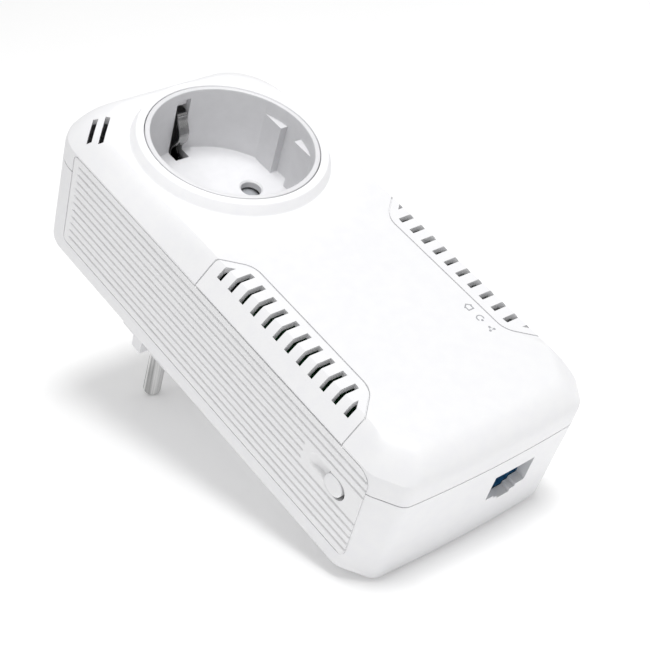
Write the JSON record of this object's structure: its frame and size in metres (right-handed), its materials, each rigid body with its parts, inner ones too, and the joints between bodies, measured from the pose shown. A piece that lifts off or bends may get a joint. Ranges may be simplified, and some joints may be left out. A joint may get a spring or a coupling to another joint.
{
  "type": "powerline adapter",
  "caption": "Plug-in powerline adapter: long white housing with a pass-through earthed socket, ribbed sides, vent grilles, LAN port and pair button.",
  "frame": {"origin": "on the common axis of plug and socket, in the plane of the housing's back", "axes": "+Z out of the front face, +Y from the LAN end to the socket end, +X to the side without the button"},
  "size_m": [0.0617, 0.1304, 0.0825],
  "materials": {
    "abs": "fine satin, injection-moulded white ABS",
    "panel_abs": "satin, injection-moulded white ABS",
    "carrier": "matt black polyamide",
    "shutter": "matt grey polyamide",
    "spring_steel": "drawn wire",
    "nickel": "nickel-plated brass",
    "bronze": "stamped spring bronze",
    "component": "matt moulded epoxy",
    "blue": "dark blue moulded insert",
    "gold": "gold-plated wire",
    "board": "green solder mask on glass epoxy",
    "aluminium": "extruded, plain",
    "ferrite": "fired ferrite",
    "film": "yellow moulded case",
    "winding": "enamelled copper winding",
    "clear": "clear moulded acrylic",
    "zinc": "zinc-plated steel"
  },
  "bodies": {
    "housing": {"front_cover": "abs", "rear_housing": "abs", "vent_grille_left": "abs", "vent_grille_right": "abs", "side_panel_left": "panel_abs", "side_panel_right": "panel_abs", "socket_cup": "abs", "contact_carrier": "carrier", "shutter_spring": "spring_steel", "earth_strap": "nickel", "live_contact": "bronze", "neutral_contact": "bronze", "live_busbar": "bronze", "neutral_busbar": "bronze", "live_pin": "nickel", "neutral_pin": "nickel", "plug_base": "abs", "plug_earth_strip_upper": "nickel", "plug_earth_strip_lower": "nickel", "plug_earth_sleeve": "nickel", "pair_switch": "component", "lan_jack": "blue", "lan_contacts": "gold", "lan_magnetics": "component", "main_board": "board", "power_board": "board", "main_chip": "component", "heat_sink": "aluminium", "smps_transformer": "ferrite", "coupling_transformer": "ferrite", "bulk_capacitor": "component", "film_capacitor": "film", "fuse": "component", "line_choke": "winding", "board_link": "component", "led_1": "clear", "led_2": "clear", "led_3": "clear", "light_pipe": "clear", "housing_screw_1": "zinc", "housing_screw_2": "zinc", "housing_screw_3": "zinc", "housing_screw_4": "zinc"},
    "button": {"pair_button": "abs", "pair_switch_plunger": "component"},
    "shutter_body": {"shutter": "shutter"},
    "upper_clip": {"earth_clip_upper": "nickel"},
    "lower_clip": {"earth_clip_lower": "nickel"}
  },
  "joints": [
    {"name": "pair_button_press", "type": "slide", "parent": "housing", "child": "button", "axis": [1, 0, 0], "range_m": [0, 0.0005], "stiffness_N_per_m": 3000},
    {"name": "shutter_turn", "type": "hinge", "parent": "housing", "child": "shutter_body", "pos_m": [0, 0, 0.0193], "axis": [0, 0, 1], "range_deg": [0, 40], "stiffness_Nm_per_rad": 0.02},
    {"name": "upper_clip_flex", "type": "hinge", "parent": "housing", "child": "upper_clip", "pos_m": [0, 0.01985, 0.0199], "axis": [-1, 0, 0], "range_deg": [0, 3], "stiffness_Nm_per_rad": 2},
    {"name": "lower_clip_flex", "type": "hinge", "parent": "housing", "child": "lower_clip", "pos_m": [0, -0.01985, 0.0199], "axis": [1, 0, 0], "range_deg": [0, 3], "stiffness_Nm_per_rad": 2}
  ]
}
